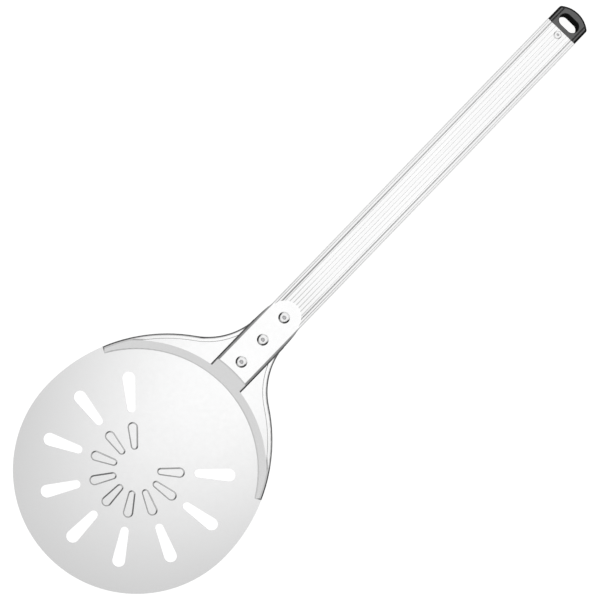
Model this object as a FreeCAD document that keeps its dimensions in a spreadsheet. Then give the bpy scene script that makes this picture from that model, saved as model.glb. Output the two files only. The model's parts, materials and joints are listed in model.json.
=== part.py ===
import FreeCAD, Part
import math
import os

import Sketcher

# Round turning peel: a pressed aluminium blade with a raised neck channel, riveted over a
# ribbed aluminium handle extrusion that is closed by a plastic cap.
# Frame: origin at the blade's centre on its resting face, +X along the handle towards the
# hanging end, +Z up out of the face that carries the pizza. Millimetres and degrees.

Vector = FreeCAD.Vector
doc = FreeCAD.newDocument("turning_peel")

# alias, value or sheet formula, note
SIZES = [
    # blade pressing
    ("blade_r", 101.6, "radius of the round blade"),
    ("sheet", 1.2, "sheet thickness"),
    ("flare_r", 137.0, "plan radius of the shoulder that leaves the round blade"),
    ("neck_fillet_r", 58.0, "concave plan radius from shoulder to neck"),
    ("neck_half", 16.3, "half width of the flange where it runs into the channel"),
    ("neck_end", 163.0, "end of the flange inside the channel"),
    ("flange_top", 7.0, "height of the raised flange"),
    ("lip_r", 1.5, "bend radius of the turned-down lip"),
    ("rim_w", 4.1, "width of the raised rim along the lip"),
    ("rim_rise", 0.45, "height of the rim over the flange"),
    ("rim_lean", 50.0, "lean of the rim's inner side"),
    ("ramp_foot", 100.1, "radius where the ramp leaves the flat blade"),
    ("ramp_angle", 40.4, "ramp angle"),
    ("ramp_foot_r", 2.0, "bend radius at the foot of the ramp"),
    ("ramp_head_r", 3.0, "bend radius at the head of the ramp"),
    ("blend_lift", 0.02, "lift that keeps a bend from being only tangent"),
    ("tip_angle", 59.5, "half angle of the raised flange about the blade's centre"),
    ("tip_taper", 30.0, "lean of the flange's end walls"),
    # neck channel
    ("chan_half", 17.0, "half width over the channel"),
    ("chan_flat", 13.9, "half width of the channel's flat top"),
    ("chan_crown_r", 5.0, "easy radius beside the flat top"),
    ("chan_top", 13.25, "height of the channel"),
    ("chan_r", 2.0, "shoulder radius of the channel"),
    ("tongue_half", 13.3, "half width of the tongue, where the side walls are trimmed"),
    ("chan_start", 90.0, "start of the channel bar before the ramp cuts it"),
    ("chan_len", 110.0, "length of the channel bar before trimming"),
    ("tongue_tip", 188.6, "tip of the channel's rounded tongue"),
    ("tongue_root", 177.3, "root of the tongue, where the side walls have run out"),
    ("skirt_start", 148.0, "foot of the side walls' end"),
    ("skirt_knee_x", 156.5, "where the side walls' end meets the tongue's long taper"),
    ("skirt_knee_z", 12.0, "height of that corner"),
    # vent slots and pressed ribs
    ("pitch_angle", "=360 / 11", "angle between slots, an eleventh of a turn"),
    ("first_angle", "=1.5 * pitch_angle", "angle of the first slot from the handle"),
    ("slot_count", 9, "number of slots and of ribs"),
    ("slot_r_in", 3.5, "inner end radius of a slot"),
    ("slot_r_out", 5.35, "outer end radius of a slot"),
    ("slot_c_in", 51.0, "distance to the slot's inner end centre"),
    ("slot_c_out", 75.75, "distance to the slot's outer end centre"),
    ("rib_r_in", 2.95, "inner end radius of a rib at its foot"),
    ("rib_r_out", 4.2, "outer end radius of a rib at its foot"),
    ("rib_c_in", 19.9, "distance to the rib's inner end centre"),
    ("rib_c_out", 35.4, "distance to the rib's outer end centre"),
    ("rib_rise", 1.0, "height of a rib over the blade"),
    ("rib_lean", 45.0, "lean of a rib's walls"),
    ("rib_inset", 0.5, "inset of the recess under a rib"),
    ("rib_soft", 0.45, "bend radius along a rib"),
    # handle extrusion
    ("tube_half", 15.3, "half width of the handle"),
    ("tube_h", 12.0, "height of the handle"),
    ("tube_r", 1.0, "corner radius of the handle"),
    ("bore_r", 0.6, "corner radius of the handle's bore"),
    ("tube_wall", 1.5, "wall of the handle"),
    ("tube_start", 116.0, "front end of the handle inside the channel"),
    ("tube_end", 497.9, "rear end of the handle"),
    ("groove_pitch", 3.035, "pitch of the fine grooves"),
    ("groove_rad", 0.35, "radius of a fine groove"),
    ("groove_depth", 0.04, "depth of a fine groove"),
    ("edge_groove_y", 10.8, "offset of the wide groove beside the ribbed panel"),
    ("edge_groove_rad", 0.6, "radius of the wide groove"),
    ("edge_groove_depth", 0.3, "depth of the wide groove"),
    ("corner_line_y", 13.1, "offset of the fine line beside the rounded corner"),
    # rivets
    ("rivet_x", 124.7, "first neck rivet"),
    ("rivet_pitch", 24.9, "spacing of the neck rivets"),
    ("rivet_hole_r", 2.45, "hole for a neck rivet"),
    ("rivet_head_r", 4.8, "head radius of a neck rivet"),
    ("rivet_shank_r", 2.4, "shank radius of a neck rivet"),
    ("cap_rivet_x", 493.6, "cap rivet"),
    ("cap_rivet_hole_r", 1.65, "hole for the cap rivet"),
    ("cap_rivet_head_r", 3.3, "head radius of the cap rivet"),
    ("cap_rivet_shank_r", 1.6, "shank radius of the cap rivet"),
    # end cap
    ("cap_half", 15.0, "half width of the cap"),
    ("cap_z", 0.1, "height of the cap's underside"),
    ("cap_h", 11.8, "height of the cap"),
    ("cap_r", 2.2, "rounding of the cap's edges"),
    ("cap_groove_y", 11.3, "offset of the cap's grooves"),
    ("cap_groove_depth", 0.5, "depth of the cap's grooves"),
    ("cap_end", 518.4, "hanging end of the cap"),
    ("cap_nose_r", 23.0, "plan radius of the cap's end"),
    ("cap_corner_r", 2.7, "plan corner radius of the cap"),
    ("cap_slot_soft", 0.6, "rounding of the hanging slot's rims"),
    ("cap_slot_w", 10.0, "width of the hanging slot"),
    ("cap_slot_l", 18.0, "length of the hanging slot"),
    ("cap_slot_x", 506.8, "centre of the hanging slot"),
    ("plug_len", 24.0, "length of the plug inside the handle"),
    ("plug_wall", 2.0, "wall of the plug"),
    ("plug_r", 3.0, "corner radius of the plug"),
    ("plug_gap", 0.1, "clearance of the plug in the handle"),
]

# construction sizes that leave no mark on the product
OVERSHOOT = 1.0         # how far a cutting form runs past the face it opens
INSET_START = 20.0      # x where a drawn-in outline is closed
BOWL_TOP = 40.0         # height of the space cut over the ramp
WEDGE_REACH = 150.0     # length of the wedge's sides behind the flange's ends
WEDGE_DEPTH = 20.0      # depth of the cut behind the flange's ends
TRIM_END = 230.0        # x beyond the channel bar
TRIM_LOW = -5.0         # z below the side walls
TRIM_SIDE = 30.0        # y beside the channel
TRIM_DEPTH = 60.0       # depth of cuts that clear the whole piece
TUBE_CUT = 500.0        # length of cuts along the handle


# --------------------------------------------------------------------------
# driving dimensions
# --------------------------------------------------------------------------
class Size(float):
    """A number that also carries its sheet expression. Keep the Size on the left of an
    operator: the result is then a Size too, otherwise it is a plain number."""

    def __new__(cls, value, text):
        size = super().__new__(cls, value)
        size.text = text
        return size

    def joined(self, sign, other, value):
        return Size(value, f"({self.text} {sign} {getattr(other, 'text', other)})")

    def __add__(self, other):
        return self.joined("+", other, float(self) + float(other))

    def __sub__(self, other):
        return self.joined("-", other, float(self) - float(other))

    def __mul__(self, other):
        return self.joined("*", other, float(self) * float(other))

    def __truediv__(self, other):
        return self.joined("/", other, float(self) / float(other))

    def __neg__(self):
        return Size(-float(self), f"(-{self.text})")


def trig(name, angle):
    """sin, cos or tan of a Size in degrees."""
    value = getattr(math, name)(math.radians(angle))
    return Size(value, f"{name}({angle.text} * 1deg)")


class Dimensions:
    """Every sheet alias as an attribute that holds its Size."""


dim = Dimensions()
dims = doc.addObject("Spreadsheet::Sheet", "dims")
for row, (alias, entry, note) in enumerate(SIZES, start=1):
    dims.set(f"A{row}", note)
    dims.set(f"B{row}", str(entry))
    dims.setAlias(f"B{row}", alias)
doc.recompute()
for alias, entry, note in SIZES:
    setattr(dim, alias, Size(float(dims.get(alias)), f"dims.{alias}"))


def set_size(target, prop, size):
    """Set a property, and bind it to the sheet when it is given a Size."""
    setattr(target, prop, float(size))
    if isinstance(size, Size):
        target.setExpression(prop, size.text)


# --------------------------------------------------------------------------
# sketch helpers
# --------------------------------------------------------------------------
# Sketcher's numbers: element -1 is the horizontal axis with the origin as its point 1,
# -2 the vertical axis. Points 1, 2 and 3 of an element are its start, end and centre.
def new_body(name):
    return doc.addObject("PartDesign::Body", name)


def origin_feature(body, role):
    return next(f for f in body.Origin.OriginFeatures if f.Role == role)


def new_sketch(body, name, role, lift=0.0, turn=None):
    """A sketch on an origin plane of the body, lifted along its normal and turned about it."""
    sketch = body.newObject("Sketcher::SketchObject", name)
    sketch.AttachmentSupport = [(origin_feature(body, role), "")]
    sketch.MapMode = "FlatFace"
    rotation = FreeCAD.Rotation(Vector(0, 0, 1), float(turn)) if turn else FreeCAD.Rotation()
    sketch.AttachmentOffset = FreeCAD.Placement(Vector(0, 0, float(lift)), rotation)
    if isinstance(lift, Size):
        sketch.setExpression("AttachmentOffset.Base.z", lift.text)
    if turn:
        sketch.setExpression("AttachmentOffset.Rotation.Angle", f"{turn.text} * 1deg")
    return sketch


def line(sketch, start, end):
    segment = Part.LineSegment(Vector(start[0], start[1], 0), Vector(end[0], end[1], 0))
    return sketch.addGeometry(segment, False)


def circle(sketch, centre, radius):
    ring = Part.Circle(Vector(centre[0], centre[1], 0), Vector(0, 0, 1), float(radius))
    return sketch.addGeometry(ring, False)


def arc(sketch, centre, radius, start, end):
    """Anticlockwise arc between two angles in degrees."""
    ring = Part.Circle(Vector(centre[0], centre[1], 0), Vector(0, 0, 1), float(radius))
    curve = Part.ArcOfCircle(ring, math.radians(start), math.radians(end))
    return sketch.addGeometry(curve, False)


def rule(sketch, *args):
    return sketch.addConstraint(Sketcher.Constraint(*args))


def drive(sketch, size, kind, *where):
    """A dimension that follows the sheet."""
    value = math.radians(size) if kind == "Angle" else float(size)
    index = rule(sketch, kind, *where, value)
    sketch.setExpression(f"Constraints[{index}]", size.text)


def place(sketch, axis, element, point, offset):
    """Hold a point at a signed offset from the origin along "X" or "Y"."""
    if offset == 0:
        rule(sketch, "PointOnObject", element, point, -2 if axis == "X" else -1)
        return
    ends = (-1, 1, element, point)
    if offset < 0:
        ends, offset = (element, point, -1, 1), -offset
    if isinstance(offset, Size):
        drive(sketch, offset, "Distance" + axis, *ends)
    else:
        rule(sketch, "Distance" + axis, *ends, offset)


def join(sketch, kind, *pairs):
    """The same relation between several pairs of points."""
    for pair in pairs:
        rule(sketch, kind, *pair)


def chain(sketch, kind, *elements):
    """The same joint from each element's end to the next one's start."""
    for first, second in zip(elements, elements[1:]):
        rule(sketch, kind, first, 2, second, 1)


def align(sketch, horizontal=(), vertical=()):
    for element in horizontal:
        rule(sketch, "Horizontal", element)
    for element in vertical:
        rule(sketch, "Vertical", element)


def path(sketch, points):
    return [line(sketch, start, end) for start, end in zip(points, points[1:])]


def polygon(sketch, points):
    sides = path(sketch, points + points[:1])
    chain(sketch, "Coincident", *sides, sides[0])
    return sides


def rounded_box(sketch, half, low, high, radius):
    """Rounded rectangle, symmetric about the vertical axis, from low to high."""
    side, floor, roof = half - radius, radius + low, high - radius
    bottom = line(sketch, (-side, low), (side, low))
    corners = [arc(sketch, (side, floor), radius, 270, 360)]
    right = line(sketch, (half, floor), (half, roof))
    corners.append(arc(sketch, (side, roof), radius, 0, 90))
    top = line(sketch, (side, high), (-side, high))
    corners.append(arc(sketch, (-side, roof), radius, 90, 180))
    left = line(sketch, (-half, roof), (-half, floor))
    corners.append(arc(sketch, (-side, floor), radius, 180, 270))
    chain(sketch, "Tangent", bottom, corners[0], right, corners[1], top, corners[2],
          left, corners[3], bottom)
    align(sketch, horizontal=[bottom], vertical=[right])
    for corner in corners[1:]:
        rule(sketch, "Equal", corners[0], corner)
    drive(sketch, radius, "Radius", corners[0])
    place(sketch, "X", right, 1, half)
    place(sketch, "X", left, 1, -half)
    place(sketch, "Y", bottom, 1, low)
    place(sketch, "Y", top, 1, high)
    doc.recompute()


def groove_circles(sketch, offsets, radius, depth, low, high):
    """Groove sections at mirrored offsets, sunk into an upper and a lower face."""
    rise = radius - depth
    first = None
    for offset in offsets:
        for y in ((offset, -offset) if offset else (offset,)):
            for z in (rise + high, -rise + low):
                ring = circle(sketch, (y, z), radius)
                place(sketch, "X", ring, 3, y)
                place(sketch, "Y", ring, 3, z)
                if first is None:
                    first = ring
                    drive(sketch, radius, "Radius", ring)
                else:
                    rule(sketch, "Equal", first, ring)


# --------------------------------------------------------------------------
# feature helpers
# --------------------------------------------------------------------------
def finish_cut(body, feature):
    before = body.Shape.Volume
    doc.recompute()
    if feature.Shape.Volume >= before - 1e-6:
        raise RuntimeError(f"{feature.Label} cut nothing")
    return feature


def extrusion(body, kind, name, sketch, length, reverse, taper):
    feature = body.newObject(f"PartDesign::{kind}", name)
    feature.Profile = sketch
    set_size(feature, "Length", length)
    feature.Reversed = reverse
    if taper:
        set_size(feature, "TaperAngle", taper)
    return feature


def pad(body, name, sketch, length, reverse=False, taper=None):
    feature = extrusion(body, "Pad", name, sketch, length, reverse, taper)
    sketch.Visibility = False
    doc.recompute()
    return feature


def pocket(body, name, sketch, length, reverse=False, taper=None, midplane=False):
    feature = extrusion(body, "Pocket", name, sketch, length, reverse, taper)
    if midplane:
        feature.Midplane = True
    return finish_cut(body, feature)


def turned(body, kind, name, sketch):
    """A Groove or a Revolution, a full turn about the sketch's vertical axis."""
    feature = body.newObject(f"PartDesign::{kind}", name)
    feature.Profile = sketch
    feature.ReferenceAxis = (sketch, ["V_Axis"])
    feature.Angle = 360.0
    return feature


def edges_where(shape, test):
    return [f"Edge{i}" for i, edge in enumerate(shape.Edges, start=1) if test(edge)]


def fillet(body, name, base, edges, radius):
    feature = body.newObject("PartDesign::Fillet", name)
    feature.Base = (base, edges)
    set_size(feature, "Radius", radius)
    doc.recompute()


def boolean(kind, name, base, tool):
    feature = doc.addObject(f"Part::{kind}", name)
    feature.Base = base
    feature.Tool = tool
    feature.Refine = True
    doc.recompute()
    return feature


def holes(body, name, positions, radius, top, depth):
    """Round holes on the X axis, cut down from just over the face at height top."""
    sketch = new_sketch(body, name + "_plan", "XY_Plane", top + OVERSHOOT)
    first = None
    for x in positions:
        ring = circle(sketch, (x, 0), radius)
        rule(sketch, "PointOnObject", ring, 3, -1)
        place(sketch, "X", ring, 3, x)
        if first is None:
            drive(sketch, radius, "Radius", ring)
            first = ring
        else:
            rule(sketch, "Equal", first, ring)
    doc.recompute()
    pocket(body, name, sketch, depth)


# --------------------------------------------------------------------------
# blade pressing: an outer form less the hollow under it
# --------------------------------------------------------------------------
def neck_centre(flare, neck_fillet, half):
    """Centre of the concave plan curve on the +Y side."""
    y = half + neck_fillet
    x = math.sqrt((flare + neck_fillet) ** 2 - (y + dim.flare_r - dim.blade_r) ** 2)
    return x, y


def outline_sketch(body, name, lift, inset=None):
    """Plan outline of the blade and its neck. With an inset it is drawn in by that size
    and runs only from INSET_START to just beyond the neck."""
    whole = inset is None
    margin = 0.0 if whole else inset
    flare, half = dim.flare_r - margin, dim.neck_half - margin
    neck_fillet = dim.neck_fillet_r + margin
    end_x = dim.neck_end + (0.0 if whole else OVERSHOOT)
    centre_y = dim.blade_r - dim.flare_r
    neck_x, neck_y = neck_centre(flare, neck_fillet, half)
    meet = math.degrees(math.atan2(neck_y - centre_y, neck_x))
    sketch = new_sketch(body, name, "XY_Plane", lift)
    if whole:
        start = 90.0
        back = arc(sketch, (0, 0), dim.blade_r, 90, 270)
    else:
        start = 90.0 - math.degrees(math.asin(INSET_START / flare))
        back_y = float(centre_y) + math.sqrt(flare**2 - INSET_START**2)
        back = line(sketch, (INSET_START, back_y), (INSET_START, -back_y))
    flare_up = arc(sketch, (0, centre_y), flare, meet, start)
    neck_up = arc(sketch, (neck_x, neck_y), neck_fillet, 180 + meet, 270)
    side_up = line(sketch, (neck_x, half), (end_x, half))
    end = line(sketch, (end_x, half), (end_x, -half))
    side_down = line(sketch, (end_x, -half), (neck_x, -half))
    neck_down = arc(sketch, (neck_x, -neck_y), neck_fillet, 90, 180 - meet)
    flare_down = arc(sketch, (0, -centre_y), flare, 360 - start, 360 - meet)
    if whole:
        rule(sketch, "Coincident", back, 3, -1, 1)
        drive(sketch, dim.blade_r, "Radius", back)
        join(sketch, "PointOnObject", (back, 1, -2), (back, 2, -2))
    else:
        align(sketch, vertical=[back])
    join(sketch, "Coincident", (back, 1, flare_up, 2), (back, 2, flare_down, 1))
    if not whole:
        place(sketch, "X", back, 1, INSET_START)
    for shoulder in (flare_up, flare_down):
        rule(sketch, "PointOnObject", shoulder, 3, -2)
        drive(sketch, flare, "Radius", shoulder)
    if not whole:
        place(sketch, "Y", flare_up, 3, centre_y)
        place(sketch, "Y", flare_down, 3, -centre_y)
    join(sketch, "Tangent", (flare_up, 1, neck_up, 1), (neck_up, 2, side_up, 1))
    chain(sketch, "Coincident", side_up, end, side_down)
    join(sketch, "Tangent", (side_down, 2, neck_down, 1), (neck_down, 2, flare_down, 2))
    for curve in (neck_up, neck_down):
        drive(sketch, neck_fillet, "Radius", curve)
    align(sketch, horizontal=[side_up, side_down], vertical=[end])
    place(sketch, "X", end, 1, end_x)
    place(sketch, "Y", end, 1, half)
    place(sketch, "Y", end, 2, -half)
    doc.recompute()
    return sketch


UPPER_BOWL = {
    "foot": dim.ramp_foot,
    "floor": dim.sheet,
    "foot_bend": dim.ramp_foot_r,
    "head_bend": dim.ramp_head_r,
}
# the ramp's lower surface lies one sheet thickness below the upper one
UNDER_BOWL = {
    "foot": dim.ramp_foot + dim.sheet * trig("tan", dim.ramp_angle / 2),
    "floor": -dim.blend_lift,
    "foot_bend": dim.ramp_foot_r + dim.sheet,
    "head_bend": dim.ramp_head_r - dim.sheet,
}


def cut_bowl(body, crest, foot, floor, foot_bend, head_bend):
    """Turn away the space over the flat blade and its ramp. The half section runs from the
    blade's axis out: flat, bend, ramp, bend, then straight up."""
    slope = math.radians(dim.ramp_angle)
    half_tan = math.tan(slope / 2)
    head = foot + (crest - floor) / math.tan(slope)
    foot_run, head_run = foot_bend * half_tan, head_bend * half_tan
    flat_end = (foot - foot_run, floor)
    ramp_low = (foot + foot_run * math.cos(slope), floor + foot_run * math.sin(slope))
    ramp_high = (head - head_run * math.cos(slope), crest - head_run * math.sin(slope))
    wall_x = head + head_run
    sketch = new_sketch(body, body.Label + "_ramp", "XZ_Plane")
    flat = line(sketch, (0, floor), flat_end)
    low_bend = arc(sketch, (flat_end[0], floor + foot_bend), foot_bend,
                   270, 270 + float(dim.ramp_angle))
    ramp = line(sketch, ramp_low, ramp_high)
    high_bend = arc(sketch, (wall_x, crest - head_bend), head_bend,
                    90, 90 + float(dim.ramp_angle))
    wall, roof, axis = path(
        sketch, [(wall_x, crest), (wall_x, BOWL_TOP), (0, BOWL_TOP), (0, floor)])
    foot_point = sketch.addGeometry(Part.Point(Vector(foot, floor, 0)), True)
    align(sketch, horizontal=[flat])
    rule(sketch, "PointOnObject", flat, 1, -2)
    place(sketch, "Y", flat, 1, floor)
    chain(sketch, "Tangent", flat, low_bend, ramp)
    rule(sketch, "Tangent", ramp, 2, high_bend, 2)
    rule(sketch, "Coincident", high_bend, 1, wall, 1)
    rule(sketch, "Vertical", high_bend, 3, high_bend, 1)
    chain(sketch, "Coincident", wall, roof, axis, flat)
    align(sketch, horizontal=[roof], vertical=[wall, axis])
    place(sketch, "Y", roof, 1, BOWL_TOP)
    drive(sketch, foot_bend, "Radius", low_bend)
    drive(sketch, head_bend, "Radius", high_bend)
    join(sketch, "PointOnObject", (foot_point, 1, flat), (foot_point, 1, ramp))
    place(sketch, "X", foot_point, 1, foot)
    drive(sketch, dim.ramp_angle, "Angle", -1, 1, ramp, 1)
    place(sketch, "Y", high_bend, 1, crest)
    doc.recompute()
    finish_cut(body, turned(body, "Groove", body.Label + "_bowl", sketch))


def cut_tips(body, tag, lift, point_x):
    """Cut the leaning end walls of the raised flange with a plan wedge whose point lies on
    the X axis and whose sides run out at the tip angle."""
    angle = math.radians(dim.tip_angle)
    x = float(point_x) + WEDGE_REACH * math.cos(angle)
    y = WEDGE_REACH * math.sin(angle)
    sketch = new_sketch(body, f"{tag}_tips", "XY_Plane", lift)
    side_up, top, back, bottom, side_down = polygon(
        sketch, [(point_x, 0), (x, y), (-WEDGE_REACH, y), (-WEDGE_REACH, -y), (x, -y)])
    rule(sketch, "PointOnObject", side_up, 1, -1)
    place(sketch, "X", side_up, 1, point_x)
    align(sketch, horizontal=[top, bottom], vertical=[back])
    drive(sketch, dim.tip_angle, "Angle", -1, 1, side_up, 1)
    drive(sketch, dim.tip_angle, "Angle", side_down, 2, -1, 1)
    rule(sketch, "Distance", side_up, WEDGE_REACH)
    rule(sketch, "Equal", side_up, side_down)
    place(sketch, "X", back, 1, -WEDGE_REACH)
    doc.recompute()
    return pocket(body, f"{tag}_tip_walls", sketch, WEDGE_DEPTH, reverse=True,
                  taper=dim.tip_taper)


def on_outline(x, y):
    """True on the shoulder, the concave curve or the neck line of the plan outline."""
    y = abs(y)
    neck_x, neck_y = neck_centre(dim.flare_r, dim.neck_fillet_r, dim.neck_half)
    shoulder_y = y + float(dim.flare_r - dim.blade_r)
    return (
        abs(math.hypot(x, shoulder_y) - dim.flare_r) < 1e-3
        or abs(math.hypot(x - neck_x, y - neck_y) - dim.neck_fillet_r) < 1e-3
        or (x > neck_x and abs(y - dim.neck_half) < 1e-3)
    )


def upper_lip_edge(edge):
    """Edges along the top of the flange's outer wall and down its ends."""
    box = edge.BoundBox
    if box.ZMin < dim.sheet + 0.8 or box.ZLength > 4.0 or box.XLength + box.YLength < 0.5:
        return False
    span = edge.LastParameter - edge.FirstParameter
    points = [edge.valueAt(edge.FirstParameter + k * span / 3) for k in range(4)]
    return all(on_outline(point.x, point.y) for point in points)


def under_lip_edge(edge):
    """Edges of the hollow's top face, except across its two closing ends."""
    box = edge.BoundBox
    top = float(dim.flange_top - dim.sheet)
    if abs(box.ZMin - top) > 1e-6 or abs(box.ZMax - top) > 1e-6:
        return False
    return box.XMin < dim.neck_end + OVERSHOOT - 1e-3 and box.XMax > INSET_START + 1e-3


def upper_flange():
    body = new_body("upper_flange")
    rim_top = dim.flange_top + dim.rim_rise
    outline = outline_sketch(body, "upper_outline", 0.0)
    pad(body, "upper_plateau", outline, rim_top)
    # the flange lies a little lower than the rim along its lip
    low = outline_sketch(body, "upper_rim_inside", dim.flange_top, dim.rim_w)
    pocket(body, "upper_rim", low, 5.0, reverse=True, taper=dim.rim_lean)
    cut_bowl(body, rim_top + dim.blend_lift, **UPPER_BOWL)
    walls = cut_tips(body, "upper", dim.sheet, 0.0)
    # the lip is rolled over along the whole outer edge, out to the tips
    fillet(body, "upper_lip", walls, edges_where(walls.Shape, upper_lip_edge), dim.lip_r)
    return body


def under_flange():
    body = new_body("under_flange")
    top = dim.flange_top - dim.sheet
    outline = outline_sketch(body, "under_outline", -OVERSHOOT, dim.sheet)
    plateau = pad(body, "under_plateau", outline, top + OVERSHOOT)
    fillet(body, "under_lip", plateau, edges_where(plateau.Shape, under_lip_edge),
           dim.lip_r - dim.sheet)
    cut_bowl(body, top + dim.blend_lift, **UNDER_BOWL)
    # end walls one sheet thickness inside the upper ones, measured at the sketch's height
    lean = dim.tip_taper
    shift = dim.sheet / trig("cos", lean) - (dim.sheet + OVERSHOOT) * trig("tan", lean)
    cut_tips(body, "under", -OVERSHOOT, shift / trig("sin", dim.tip_angle))
    return body


def channel(tag, skin, bottom, bowl):
    """Channel bar, drawn in by skin: flat top, an easy curve that tightens into the
    shoulder, upright walls."""
    body = new_body(f"{tag}_channel")
    flat, half, top = dim.chan_flat, dim.chan_half - skin, dim.chan_top - skin
    crown_r, shoulder_r = dim.chan_crown_r - skin, dim.chan_r - skin
    crown_z = float(top - crown_r)
    across = float(half - shoulder_r - flat)
    between = float(crown_r - shoulder_r)
    shoulder_y = half - shoulder_r
    shoulder_z = crown_z + math.sqrt(between**2 - across**2)
    turn = math.degrees(math.asin(across / between))
    sketch = new_sketch(body, f"{tag}_section", "YZ_Plane", dim.chan_start)
    base = line(sketch, (-half, bottom), (half, bottom))
    right = line(sketch, (half, bottom), (half, shoulder_z))
    shoulder_a = arc(sketch, (shoulder_y, shoulder_z), shoulder_r, 0, 90 - turn)
    crown_a = arc(sketch, (flat, crown_z), crown_r, 90 - turn, 90)
    roof = line(sketch, (flat, top), (-flat, top))
    crown_b = arc(sketch, (-flat, crown_z), crown_r, 90, 90 + turn)
    shoulder_b = arc(sketch, (-shoulder_y, shoulder_z), shoulder_r, 90 + turn, 180)
    left = line(sketch, (-half, shoulder_z), (-half, bottom))
    chain(sketch, "Coincident", left, base, right)
    chain(sketch, "Tangent", right, shoulder_a, crown_a, roof, crown_b, shoulder_b, left)
    align(sketch, horizontal=[base, roof], vertical=[right, left])
    rule(sketch, "Equal", shoulder_a, shoulder_b)
    rule(sketch, "Equal", crown_a, crown_b)
    drive(sketch, shoulder_r, "Radius", shoulder_a)
    drive(sketch, crown_r, "Radius", crown_a)
    place(sketch, "X", base, 2, half)
    place(sketch, "X", base, 1, -half)
    place(sketch, "Y", roof, 1, top)
    place(sketch, "X", roof, 1, flat)
    place(sketch, "X", roof, 2, -flat)
    place(sketch, "Y", base, 1, bottom)
    doc.recompute()
    pad(body, f"{tag}_bar", sketch, dim.chan_len)
    cut_bowl(body, top + dim.blend_lift, **bowl)
    return body


def blade_pressing():
    outer_flange = upper_flange()
    outer_channel = channel("upper", 0.0, 0.0, UPPER_BOWL)
    inner_flange = under_flange()
    inner_channel = channel("under", dim.sheet, -OVERSHOOT, UNDER_BOWL)
    upper = boolean("Fuse", "upper_form", outer_flange, outer_channel)
    under = boolean("Fuse", "under_form", inner_flange, inner_channel)
    return boolean("Cut", "pressing", upper, under)


# --------------------------------------------------------------------------
# blade head: the pressing, trimmed, slotted, ribbed and drilled
# --------------------------------------------------------------------------
def trim_side_walls(body):
    """The side walls sweep up to the tongue, on both sides of the flat top."""
    sketch = new_sketch(body, "skirt_line", "XZ_Plane", -dim.tongue_half)
    lower, upper, top, end, bottom, front = polygon(sketch, [
        (dim.skirt_start, 0.0),
        (dim.skirt_knee_x, dim.skirt_knee_z),
        (dim.tongue_root, dim.chan_top),
        (TRIM_END, dim.chan_top),
        (TRIM_END, TRIM_LOW),
        (dim.skirt_start, TRIM_LOW),
    ])
    rule(sketch, "PointOnObject", lower, 1, -1)
    place(sketch, "X", lower, 1, dim.skirt_start)
    place(sketch, "X", upper, 1, dim.skirt_knee_x)
    place(sketch, "Y", upper, 1, dim.skirt_knee_z)
    place(sketch, "X", upper, 2, dim.tongue_root)
    place(sketch, "Y", upper, 2, dim.chan_top)
    align(sketch, horizontal=[top, bottom], vertical=[end, front])
    place(sketch, "X", end, 2, TRIM_END)
    place(sketch, "Y", end, 2, TRIM_LOW)
    doc.recompute()
    trim = pocket(body, "skirt_trim", sketch, TRIM_DEPTH)
    mirrored = body.newObject("PartDesign::Mirrored", "skirt_trim_mirrored")
    mirrored.Originals = [trim]
    mirrored.MirrorPlane = (origin_feature(body, "XZ_Plane"), [""])
    body.Tip = mirrored
    doc.recompute()


def round_tongue(body):
    root, tip, half = dim.tongue_root, dim.tongue_tip, dim.tongue_half
    reach = tip - root
    radius = (reach * reach + half * half) / (reach * 2)
    centre_x = float(tip - radius)
    angle = math.degrees(math.atan2(half, root - centre_x))
    sketch = new_sketch(body, "tongue_plan", "XY_Plane")
    nose = arc(sketch, (centre_x, 0), radius, -angle, angle)
    sides = path(sketch, [
        (root, half), (root, TRIM_SIDE), (TRIM_END, TRIM_SIDE),
        (TRIM_END, -TRIM_SIDE), (root, -TRIM_SIDE), (root, -half),
    ])
    chain(sketch, "Coincident", nose, *sides, nose)
    align(sketch, horizontal=[sides[1], sides[3]], vertical=[sides[0], sides[2], sides[4]])
    rule(sketch, "PointOnObject", nose, 3, -1)
    place(sketch, "X", nose, 2, root)
    place(sketch, "Y", nose, 2, half)
    drive(sketch, radius, "Radius", nose)
    place(sketch, "X", sides[2], 1, TRIM_END)
    place(sketch, "Y", sides[1], 1, TRIM_SIDE)
    place(sketch, "Y", sides[3], 2, -TRIM_SIDE)
    doc.recompute()
    pocket(body, "tongue_trim", sketch, TRIM_DEPTH, midplane=True)


def teardrop_sketch(body, name, lift, inner_x, inner_r, outer_x, outer_r):
    """Two arcs and their common tangents, on the radius at the first slot's angle."""
    sketch = new_sketch(body, name, "XY_Plane", lift, dim.first_angle)
    lean = math.acos((inner_r - outer_r) / (outer_x - inner_x))
    cosine, sine = math.cos(lean), math.sin(lean)
    lean = math.degrees(lean)
    inner = arc(sketch, (inner_x, 0), inner_r, lean, 360 - lean)
    outer = arc(sketch, (outer_x, 0), outer_r, -lean, lean)
    sides = []
    for side in (1, -1):
        start = (inner_x + inner_r * cosine, side * inner_r * sine)
        end = (outer_x + outer_r * cosine, side * outer_r * sine)
        sides.append(line(sketch, start, end))
    join(sketch, "Tangent", (inner, 1, sides[0], 1), (sides[0], 2, outer, 2),
         (outer, 1, sides[1], 2), (sides[1], 1, inner, 2))
    join(sketch, "PointOnObject", (inner, 3, -1), (outer, 3, -1))
    place(sketch, "X", inner, 3, inner_x)
    place(sketch, "X", outer, 3, outer_x)
    drive(sketch, inner_r, "Radius", inner)
    drive(sketch, outer_r, "Radius", outer)
    doc.recompute()
    return sketch


def round_the_blade(body, name, feature):
    pattern = body.newObject("PartDesign::PolarPattern", name)
    pattern.Originals = [feature]
    pattern.Axis = (origin_feature(body, "Z_Axis"), [""])
    set_size(pattern, "Angle", dim.pitch_angle * (dim.slot_count - 1))
    pattern.Occurrences = int(dim.slot_count)
    pattern.setExpression("Occurrences", dim.slot_count.text)
    body.Tip = pattern
    doc.recompute()
    return pattern


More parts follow.
